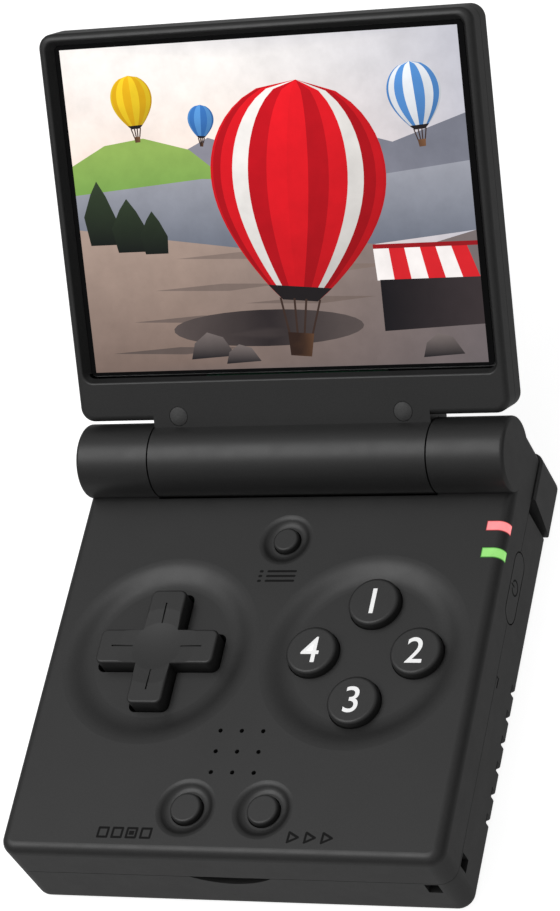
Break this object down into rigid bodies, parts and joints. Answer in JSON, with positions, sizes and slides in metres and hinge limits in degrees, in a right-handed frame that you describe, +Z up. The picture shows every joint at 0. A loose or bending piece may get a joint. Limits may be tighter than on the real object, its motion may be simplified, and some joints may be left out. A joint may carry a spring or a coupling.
{
  "type": "handheld game console",
  "caption": "Pocket game console in two hinged halves: a square base with direction pad, round buttons, side and shoulder buttons, and a lid that holds the screen.",
  "frame": {"origin": "centre of the base's flat underside, on the surface it stands on", "axes": "+Z up out of the button face, +Y from the player towards the hinge, +X to the player's right"},
  "size_m": [0.0862, 0.141, 0.08],
  "materials": {
    "body_grey": "fine moulded grain, satin",
    "button_grey": "smooth satin",
    "bumper_rubber": "smooth",
    "lens_glass": "polished",
    "lcd": "lit picture",
    "backlight": "white diffuser in a metal tray",
    "board": "green solder mask",
    "ribbon": "amber polyimide",
    "magnet": "nickel plated",
    "screws": "black zinc",
    "steel": "ground",
    "shield": "tin plated",
    "battery_wrap": "shrink film",
    "speaker_metal": "stamped",
    "membrane": "moulded silicone",
    "led_red": "translucent, lit",
    "led_green": "translucent, lit",
    "port_black": "glass filled",
    "card_black": "smooth"
  },
  "bodies": {
    "base": {"base_top_shell": "body_grey", "base_bottom_shell": "body_grey", "hinge_cartridge": "steel", "hinge_bush": "steel", "main_board": "board", "processor_shield": "shield", "battery": "battery_wrap", "speaker": "speaker_metal", "face_button_membrane": "membrane", "dpad_membrane": "membrane", "small_button_membranes": "membrane", "led_pipe_red": "led_red", "led_pipe_green": "led_green", "side_switches": "shield", "shoulder_pins": "steel", "shoulder_switches": "shield", "headphone_jack": "port_black", "usb_port": "shield", "card_socket": "shield", "base_screws": "screws"},
    "lid": {"lid_front_shell": "body_grey", "lid_rear_shell": "body_grey", "screen_lens": "lens_glass", "lcd_panel": "lcd", "backlight_unit": "backlight", "display_board": "board", "display_ribbon": "ribbon", "lid_magnet": "magnet", "lid_bumpers": "bumper_rubber", "lid_screws": "screws"},
    "dpad_ball": {"dpad_pivot": "port_black"},
    "dpad": {"dpad": "button_grey"},
    "face_top": {"face_button_top": "button_grey"},
    "face_right": {"face_button_right": "button_grey"},
    "face_bottom": {"face_button_bottom": "button_grey"},
    "face_left": {"face_button_left": "button_grey"},
    "menu": {"menu_button": "button_grey"},
    "select": {"select_button": "button_grey"},
    "start": {"start_button": "button_grey"},
    "power": {"power_button": "button_grey"},
    "reset": {"reset_button": "button_grey"},
    "volume": {"volume_rocker": "button_grey"},
    "shoulder_l": {"shoulder_left": "button_grey"},
    "shoulder_r": {"shoulder_right": "button_grey"},
    "card": {"memory_card": "card_black"}
  },
  "joints": [
    {"name": "lid_hinge", "type": "hinge", "parent": "base", "child": "lid", "pos_m": [0, 0.0366, 0.0219], "axis": [1, 0, 0], "range_deg": [0, 135]},
    {"name": "dpad_up_down", "type": "hinge", "parent": "base", "child": "dpad_ball", "pos_m": [-0.02, -0.0026, 0.01567], "axis": [1, 0, 0], "range_deg": [-3, 3], "stiffness_Nm_per_rad": 0.12},
    {"name": "dpad_left_right", "type": "hinge", "parent": "dpad_ball", "child": "dpad", "pos_m": [-0.02, -0.0026, 0.01567], "axis": [0, 1, 0], "range_deg": [-3, 3], "stiffness_Nm_per_rad": 0.12},
    {"name": "face_top_press", "type": "slide", "parent": "base", "child": "face_top", "axis": [0, 0, -1], "range_m": [0, 0.001], "stiffness_N_per_m": 900},
    {"name": "face_right_press", "type": "slide", "parent": "base", "child": "face_right", "axis": [0, 0, -1], "range_m": [0, 0.001], "stiffness_N_per_m": 900},
    {"name": "face_bottom_press", "type": "slide", "parent": "base", "child": "face_bottom", "axis": [0, 0, -1], "range_m": [0, 0.001], "stiffness_N_per_m": 900},
    {"name": "face_left_press", "type": "slide", "parent": "base", "child": "face_left", "axis": [0, 0, -1], "range_m": [0, 0.001], "stiffness_N_per_m": 900},
    {"name": "menu_press", "type": "slide", "parent": "base", "child": "menu", "axis": [0, 0, -1], "range_m": [0, 0.0006], "stiffness_N_per_m": 1200},
    {"name": "select_press", "type": "slide", "parent": "base", "child": "select", "axis": [0, 0, -1], "range_m": [0, 0.0006], "stiffness_N_per_m": 1200},
    {"name": "start_press", "type": "slide", "parent": "base", "child": "start", "axis": [0, 0, -1], "range_m": [0, 0.0006], "stiffness_N_per_m": 1200},
    {"name": "power_press", "type": "slide", "parent": "base", "child": "power", "axis": [-1, 0, 0], "range_m": [0, 0.0004], "stiffness_N_per_m": 2500},
    {"name": "reset_press", "type": "slide", "parent": "base", "child": "reset", "axis": [-1, 0, 0], "range_m": [0, 0.0003], "stiffness_N_per_m": 3000},
    {"name": "volume_rock", "type": "hinge", "parent": "base", "child": "volume", "pos_m": [-0.03965, 0.0154, 0.0105], "axis": [0, 0, 1], "range_deg": [-2, 2], "stiffness_Nm_per_rad": 0.2},
    {"name": "shoulder_left_press", "type": "hinge", "parent": "base", "child": "shoulder_l", "pos_m": [-0.0227, 0.0406, 0.0056], "axis": [0, 0, 1], "range_deg": [0, 2], "stiffness_Nm_per_rad": 0.6},
    {"name": "shoulder_right_press", "type": "hinge", "parent": "base", "child": "shoulder_r", "pos_m": [0.0227, 0.0406, 0.0056], "axis": [0, 0, -1], "range_deg": [0, 2], "stiffness_Nm_per_rad": 0.6},
    {"name": "card_slide", "type": "slide", "parent": "base", "child": "card", "axis": [-1, 0, 0], "range_m": [0, 0.012]}
  ]
}
